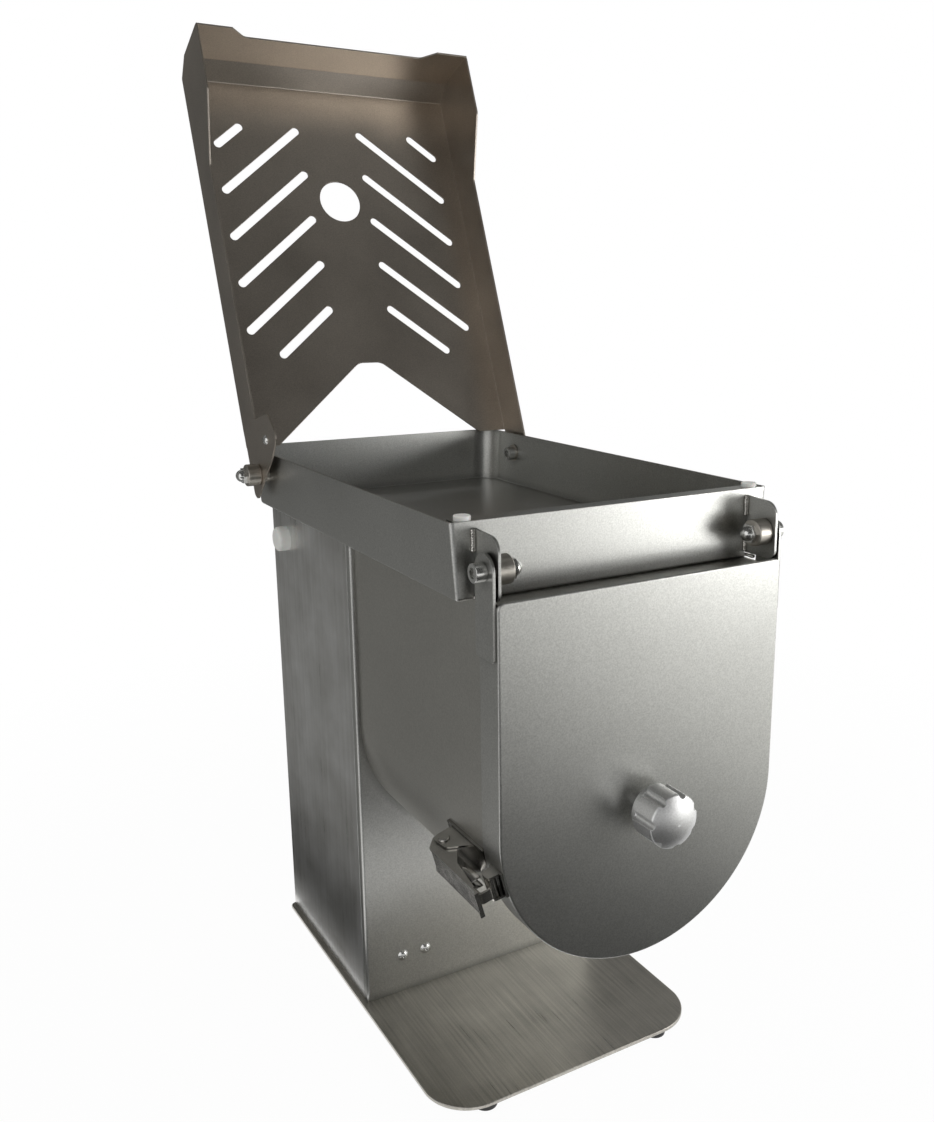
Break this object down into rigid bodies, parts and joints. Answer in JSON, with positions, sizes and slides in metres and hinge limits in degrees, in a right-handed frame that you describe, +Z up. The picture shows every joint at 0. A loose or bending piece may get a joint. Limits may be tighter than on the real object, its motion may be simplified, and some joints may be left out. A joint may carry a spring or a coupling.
{
  "type": "meat mixer",
  "caption": "Stainless bench meat mixer: drive column, half-round trough with a turning paddle, flip-up front door with a toggle latch, tray and perforated safety lid.",
  "frame": {"origin": "on the table, under the middle of the mixer's box with its lid open", "axes": "+Z up, -Y towards the door and its knob, +X to the user's right when facing the door"},
  "size_m": [0.3224, 0.6247, 0.873],
  "materials": {
    "panel_steel": "bead-blasted satin",
    "base_steel": "brushed along the plate",
    "trough_steel": "fine satin",
    "hardware_steel": "polished",
    "bushing_steel": "turned",
    "latch_steel": "bright stamped",
    "knob_metal": "matte silver",
    "bumper_nylon": "translucent white",
    "seal_rubber": "white food-grade",
    "foot_rubber": "matte black",
    "motor_paint": "grey paint",
    "gearbox_metal": "cast",
    "box_plastic": "black",
    "button_green": "gloss",
    "button_red": "gloss"
  },
  "bodies": {
    "frame": {"base_plate": "base_steel", "rubber_feet": "foot_rubber", "foot_screws": "hardware_steel", "column_front": "panel_steel", "column_shell": "panel_steel", "seam_straps": "panel_steel", "rear_hatch": "panel_steel", "hatch_screws": "hardware_steel", "hopper_tray": "panel_steel", "trough_shell": "trough_steel", "hinge_brackets": "panel_steel", "hinge_spacers": "bushing_steel", "hinge_bushings": "bushing_steel", "hinge_screws": "hardware_steel", "hinge_nuts": "hardware_steel", "rim_bumpers": "bumper_nylon", "lid_pivot_screws": "hardware_steel", "lid_pivot_pads": "bushing_steel", "lid_pivot_spacers": "bushing_steel", "lid_pivot_bushings": "bushing_steel", "lid_pivot_nuts": "hardware_steel", "safety_nub": "bumper_nylon", "nub_nut": "bumper_nylon", "front_screws": "hardware_steel", "motor_foot": "panel_steel", "gearbox_mount": "panel_steel", "gearbox": "gearbox_metal", "motor": "motor_paint", "fan_cover": "box_plastic", "terminal_box": "box_plastic", "shaft_seal": "seal_rubber", "button_panel": "box_plastic", "button_bezels": "hardware_steel", "button_blocks": "box_plastic", "cable_gland": "box_plastic", "gland_nut": "box_plastic", "latch_bases": "latch_steel", "latch_rivets": "latch_steel"},
    "door": {"door_panel": "panel_steel", "door_straps": "panel_steel", "door_gasket": "seal_rubber", "door_boss": "seal_rubber", "latch_keepers": "latch_steel", "keeper_rollers": "latch_steel"},
    "knob": {"door_knob": "knob_metal", "knob_pin": "hardware_steel", "pin_clip": "hardware_steel"},
    "lid": {"lid_panel": "panel_steel", "lid_magnet": "hardware_steel", "magnet_screw": "hardware_steel"},
    "paddle": {"drive_shaft": "hardware_steel", "paddle_shaft": "trough_steel", "paddle_arms": "trough_steel", "paddle_blades": "trough_steel"},
    "start_button": {"start_button": "button_green"},
    "stop_button": {"stop_button": "button_red"},
    "lever_left": {"latch_lever_left": "latch_steel"},
    "bail_left": {"latch_bail_left": "latch_steel"}
  },
  "joints": [
    {"name": "lid_hinge", "type": "hinge", "parent": "frame", "child": "lid", "pos_m": [0, 0.1393, 0.469], "axis": [-1, 0, 0], "range_deg": [-111.9, 0]},
    {"name": "door_hinge", "type": "hinge", "parent": "frame", "child": "door", "pos_m": [0, -0.2587, 0.46], "axis": [-1, 0, 0], "range_deg": [0, 95]},
    {"name": "knob_turn", "type": "hinge", "parent": "door", "child": "knob", "pos_m": [0, -0.2777, 0.277], "axis": [0, 1, 0], "continuous": true},
    {"name": "paddle_turn", "type": "hinge", "parent": "frame", "child": "paddle", "pos_m": [0, -0.1127, 0.277], "axis": [0, 1, 0], "continuous": true},
    {"name": "start_press", "type": "slide", "parent": "frame", "child": "start_button", "axis": [-1, 0, 0], "range_m": [0, 0.004], "stiffness_N_per_m": 400},
    {"name": "stop_press", "type": "slide", "parent": "frame", "child": "stop_button", "axis": [-1, 0, 0], "range_m": [0, 0.004], "stiffness_N_per_m": 400},
    {"name": "lever_left", "type": "hinge", "parent": "frame", "child": "lever_left", "pos_m": [-0.1246, -0.2077, 0.24361], "axis": [0.2588, 0, -0.9659], "range_deg": [0, 130]},
    {"name": "bail_left", "type": "hinge", "parent": "lever_left", "child": "bail_left", "pos_m": [-0.1246, -0.2007, 0.24361], "axis": [0.2588, 0, -0.9659], "range_deg": [-6, 0]}
  ]
}
